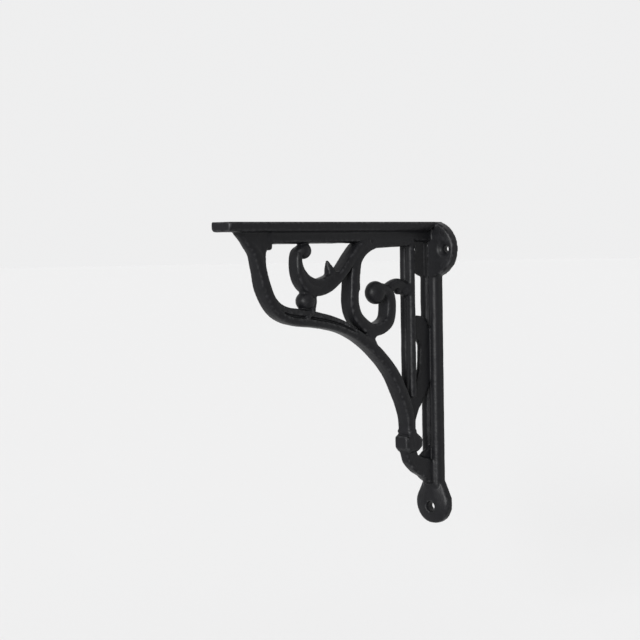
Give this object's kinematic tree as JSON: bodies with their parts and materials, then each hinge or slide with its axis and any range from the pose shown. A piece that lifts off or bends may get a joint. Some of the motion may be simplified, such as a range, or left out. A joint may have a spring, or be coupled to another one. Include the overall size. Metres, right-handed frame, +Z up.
{
  "type": "shelf bracket",
  "caption": "Cast iron shelf bracket with an openwork of scrolls and balls between its flat arm and its wall strip, ears at the top and a lug at the foot.",
  "frame": {"origin": "on the wall face, on the bracket's centre plane, half way between the seat and the foot", "axes": "+Z up, +Y into the wall, -Y out along the arm, X across the bracket"},
  "size_m": [0.0426, 0.2, 0.208],
  "materials": {
    "black_iron": "satin black paint over the cast surface"
  },
  "bodies": {
    "root": {"bracket": "black_iron"}
  },
  "joints": []
}
